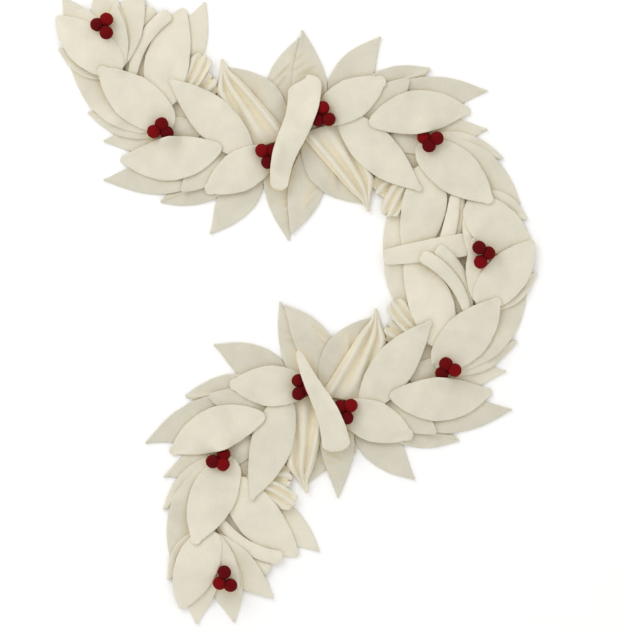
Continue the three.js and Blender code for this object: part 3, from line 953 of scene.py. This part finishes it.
leaf_pieces, berry_pieces = [], []
for spray in SPRAYS:
    for arc_name, arc in ARCS.items():
        node = f"{arc_name}_{spray}"
        if spray not in BALLS:
            # The lowest sprays get their painted shade here
            tone_and_shading = FRONT_TONE if spray in FRONT_SPRAYS else LOW_SPRAY_SHADE.get(spray, PLAIN_TONE)
            leaf_pieces.append(lay_spray(node, shapes_of(spray, node, arc), tone_and_shading))
        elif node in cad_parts:
            berry_pieces.append(lay_berries(node, arc_name))
        if node == "right_top_finger_spray":
            middle_leaf = Leaf(MIDDLE_LEAF, arc, CHANGES["middle_leaf", 0])
            leaf_pieces.append(lay_spray("middle_leaf", [middle_leaf], PLAIN_TONE))
bpy.data.objects.remove(pattern_ball)
triangles = sum(2 * len(p.data.polygons) for p in leaf_pieces)
triangles += sum(len(p.data.polygons) for p in berry_pieces)
print("leaf pieces:", len(leaf_pieces), "berry pieces:", len(berry_pieces), "triangles:", triangles)
print("highest point, mm:", round(float(heights.max()), 1))

# %% [markdown]
# ## Light in the gaps
#
# Light that reaches a narrow gap has gone from felt to felt, which makes it warmer. Bounces in the
# render show only a little of it. The map of heights tells how deep each point lies among its
# neighbours, and that is kept with the folds, where the material turns it into a painted warm shade.

# %% How deep each spot lies among its neighbours
# How far the neighbours reach, and the depth at which the painted warm shade is full
RECESS_REACH, RECESS_DEPTH = 5.0, 9.0
blur = blur_matrix(heights.shape[0], RECESS_REACH)
around = blur @ heights @ blur_matrix(heights.shape[1], RECESS_REACH).T
points_in_gaps = 0
for piece in leaf_pieces:
    mesh = piece.data
    places = np.empty(3 * len(mesh.vertices))
    mesh.vertices.foreach_get("co", places)
    places = places.reshape(-1, 3) / MM - [SHIFT_X, SHIFT_Y, 0]
    recess = np.clip((around[spots(places[:, 0], places[:, 1])] - places[:, 2]) / RECESS_DEPTH, 0, 1)
    fold = np.empty(len(mesh.vertices), dtype=np.float32)
    mesh.attributes["fold"].data.foreach_get("value", fold)
    # The painted warm shade of the gaps joins that of the folds
    fold = np.maximum(fold, recess.astype(np.float32))
    mesh.attributes["fold"].data.foreach_set("value", fold)
    points_in_gaps += int((recess > 0.5).sum())
print("points deep in a gap:", points_in_gaps)

# %% [markdown]
# ## Wool felt
#
# Felt has no weave. It is a mat of fine fibres, so it is matt, a little fuzzy where light grazes
# it, and slightly uneven in tone. A picture of felt could be wrapped round each leaf, but noise
# that fills space needs no layout on more than a hundred leaves. One node group makes the mat of
# fibres, and the ivory leaves and the red balls both use it with their own values.

# %% Short ways to a shader node
def add_node(tree, kind, feeds=(), **settings):
    """A shader node with its settings, and what its sockets get: a value or another's output."""
    node = tree.nodes.new(f"ShaderNode{kind}")
    for name, setting in settings.items():
        setattr(node, name, setting)
    for socket, feed in dict(feeds).items():
        if isinstance(feed, bpy.types.NodeSocket):
            tree.links.new(feed, node.inputs[socket])
        else:
            node.inputs[socket].default_value = feed
    return node


def maths(tree, operation, first, second):
    """The output of a Math node."""
    return add_node(tree, "Math", {0: first, 1: second}, operation=operation).outputs[0]


# %% The mat of fibres
FIBRE_SIZES = {"Fibre size": 0.5, "Matting size": 3.0, "Patch size": 25.0}
FIBRE_TURN = (0.4, 0.3, 0.9)
# How much the fibres stand out against the matting, and how high both are together
FIBRE_SHARE, HEIGHT_SHARE = 0.6, 0.7
# The noise is stretched to fibres that run one way, or the other, or not at all
ALONG, ACROSS, EVEN = (1.0, 0.22, 1.0), (0.22, 1.0, 1.0), (1.0, 1.0, 1.0)


def fibre_group():
    """Fibres laid both ways, matted lumps and uneven patches, each with its size in mm."""
    group = bpy.data.node_groups.new("Felt fibres", "ShaderNodeTree")
    for name, size in FIBRE_SIZES.items():
        socket = group.interface.new_socket(name=name, in_out="INPUT", socket_type="NodeSocketFloat")
        socket.default_value = size
    for name in ("Height", "Tone", "Patches"):
        group.interface.new_socket(name=name, in_out="OUTPUT", socket_type="NodeSocketFloat")
    sizes = group.nodes.new("NodeGroupInput").outputs
    results = group.nodes.new("NodeGroupOutput").inputs
    place = add_node(group, "TexCoord").outputs["Object"]

    def noise(size, detail, distortion, stretch):
        """A noise whose size comes from a socket."""
        feeds = {"Vector": place, "Scale": stretch, "Rotation": FIBRE_TURN}
        mapping = add_node(group, "Mapping", feeds)
        feeds = {"Vector": mapping.outputs["Vector"], "Detail": detail, "Distortion": distortion}
        feeds["Scale"] = maths(group, "DIVIDE", 1 / MM, sizes[size])
        return add_node(group, "TexNoise", feeds).outputs["Fac"]

    along = noise("Fibre size", 3.0, 1.6, ALONG)
    across = noise("Fibre size", 3.0, 1.6, ACROSS)
    matting = noise("Matting size", 4.0, 0.6, EVEN)
    fibres = maths(group, "MAXIMUM", along, across)
    high = maths(group, "ADD", maths(group, "MULTIPLY", fibres, FIBRE_SHARE), matting)
    group.links.new(maths(group, "MULTIPLY", high, HEIGHT_SHARE), results["Height"])
    group.links.new(fibres, results["Tone"])
    group.links.new(noise("Patch size", 2.0, 0.3, EVEN), results["Patches"])
    return group


FIBRES = fibre_group()
print("nodes in the mat of fibres:", len(FIBRES.nodes))


# %% A felt material
def felt_material(name, deep, base, light, painted_fold_shade, sizes, bump_height, sheen):
    """Wool felt: deep between the fibres, base over most of it, light on the raised fibres.
    painted_fold_shade: what its colour is multiplied with deep in a fold or a gap, a painted warm
    shade."""
    material = bpy.data.materials.new(name)
    material.use_nodes = True
    tree = material.node_tree
    # The colour of the fibres
    fibres = add_node(tree, "Group", zip(FIBRE_SIZES, sizes), node_tree=FIBRES).outputs
    ramp = add_node(tree, "ValToRGB", {"Fac": fibres["Tone"]})
    stops = ramp.color_ramp.elements
    stops[0].position, stops[0].color = 0.3, (*deep, 1)
    stops[1].position, stops[1].color = 0.75, (*light, 1)
    stops.new(0.52).color = (*base, 1)
    # Lighter and darker leaves and patches; the lowest sprays carry a painted shade, and the balls a
    # painted light and shade
    tone_and_shading = add_node(tree, "Attribute", attribute_name="tone_and_shading").outputs["Fac"]
    spread = {"From Min": 0.2, "From Max": 0.8, "To Min": 0.94, "To Max": 1.05}
    patches = add_node(tree, "MapRange", {"Value": fibres["Patches"], **spread}).outputs["Result"]
    feeds = {0: ramp.outputs["Color"], "Scale": maths(tree, "ADD", tone_and_shading, patches)}
    colour = add_node(tree, "VectorMath", feeds, operation="SCALE").outputs[0]
    # A painted warm shade in the folds and the gaps
    fold = add_node(tree, "Attribute", attribute_name="fold").outputs["Fac"]
    feeds = {"Factor": fold, "A": colour, "B": (*painted_fold_shade, 1)}
    with_painted_shade = add_node(tree, "Mix", feeds, data_type="RGBA", blend_type="MULTIPLY")
    # The relief of the fibres
    feeds = {"Height": fibres["Height"], "Strength": 0.6, "Distance": bump_height * MM}
    bump = add_node(tree, "Bump", feeds)
    shader = tree.nodes["Principled BSDF"]
    tree.links.new(with_painted_shade.outputs["Result"], shader.inputs["Base Color"])
    tree.links.new(bump.outputs["Normal"], shader.inputs["Normal"])
    shader.inputs["Roughness"].default_value = 0.95
    shader.inputs["Specular IOR Level"].default_value = 0.15
    shader.inputs["Sheen Weight"].default_value = sheen
    shader.inputs["Sheen Roughness"].default_value = 0.5
    shader.inputs["Sheen Tint"].default_value = (*light, 1)
    return material


# %% Ivory leaves and crimson berries
LEAF_FELT = felt_material(
    "Ivory wool felt",
    deep=(0.64, 0.603, 0.492),
    base=(0.725, 0.686, 0.562),
    light=(0.78, 0.748, 0.634),
    # A painted warm shade deep in the folds and the gaps
    painted_fold_shade=(1.05, 0.97, 0.82),
    sizes=(0.7, 3.0, 28.0),
    bump_height=0.5,
    sheen=0.25,
)
BERRY_FELT = felt_material(
    "Crimson wool felt",
    deep=(0.06, 0.0004, 0.0010),
    base=(0.125, 0.0006, 0.0018),
    light=(0.21, 0.0014, 0.004),
    painted_fold_shade=(1.0, 1.0, 1.0),
    sizes=(0.6, 2.0, 12.0),
    bump_height=0.7,
    sheen=0.05,
)
for pieces, material in ((leaf_pieces, LEAF_FELT), (berry_pieces, BERRY_FELT)):
    for piece in pieces:
        piece.data.materials.append(material)
    print(material.name, "on", len(pieces), "pieces")

# %% [markdown]
# ## The stage
#
# The garland lies on a plain white surface under soft light from all round, a little stronger from
# the upper left. A picture of a room could light it too, but a plain one keeps the felt's own
# colour. The surface lies a hair under the garland, so that the two don't flicker in each other.

# %% The floor
FLOOR_SIZE, FLOOR_DROP = 12.0, 0.0002
bpy.ops.object.select_all(action="DESELECT")
bpy.ops.mesh.primitive_plane_add(size=FLOOR_SIZE, location=(0, 0, -FLOOR_DROP))
floor = bpy.context.active_object
floor.name = "floor"
floor_material = bpy.data.materials.new("White surface")
floor_material.use_nodes = True
floor_shader = floor_material.node_tree.nodes["Principled BSDF"]
floor_shader.inputs["Base Color"].default_value = (0.97, 0.97, 0.97, 1)
floor_shader.inputs["Roughness"].default_value = 0.9
floor.data.materials.append(floor_material)
print("floor, m:", FLOOR_SIZE, "x", FLOOR_SIZE)

# %% The light
WINDOW_PLACE, WINDOW_SIZE, WINDOW_POWER = (-1.6, 1.7, 2.2), 1.6, 21
world = bpy.data.worlds.new("Soft room")
world.use_nodes = True
world.node_tree.nodes["Background"].inputs["Color"].default_value = (1.0, 0.995, 0.985, 1)
world.node_tree.nodes["Background"].inputs["Strength"].default_value = 0.95
bpy.context.scene.world = world

window_light = bpy.data.lights.new("window", "AREA")
window_light.size = WINDOW_SIZE
window_light.energy = WINDOW_POWER
window = bpy.data.objects.new("window", window_light)
window.location = WINDOW_PLACE
window.rotation_euler = (-window.location).to_track_quat("-Z", "Y").to_euler()
bpy.context.scene.collection.objects.link(window)
print("lights:", window.name, "and", world.name)

# %% [markdown]
# ## The camera
#
# The garland is seen from straight above, with hardly any perspective, so the camera stands far
# away and looks through a long lens. An orthographic camera would show the same from above, but
# views from the side look more natural through a lens.

# %% Camera
# The width that the photograph shows, and where in the frame its middle lies
PHOTO_WIDTH = 851.9
VIEW_CENTRE = (25.7, -18.4)
LENS, SENSOR = 300.0, 36.0
camera_data = bpy.data.cameras.new("camera")
camera_data.lens = LENS
camera_data.sensor_width = SENSOR
camera_data.clip_end = 100.0
camera = bpy.data.objects.new("camera", camera_data)
camera.location = Vector((*VIEW_CENTRE, PHOTO_WIDTH * LENS / SENSOR)) * MM
bpy.context.scene.collection.objects.link(camera)
bpy.context.scene.camera = camera
bpy.context.scene.view_settings.view_transform = "Standard"
# Light goes from felt to felt many times, because the felt is so pale
bpy.context.scene.cycles.diffuse_bounces = 6
print("camera height, m:", round(camera.location.z, 2))
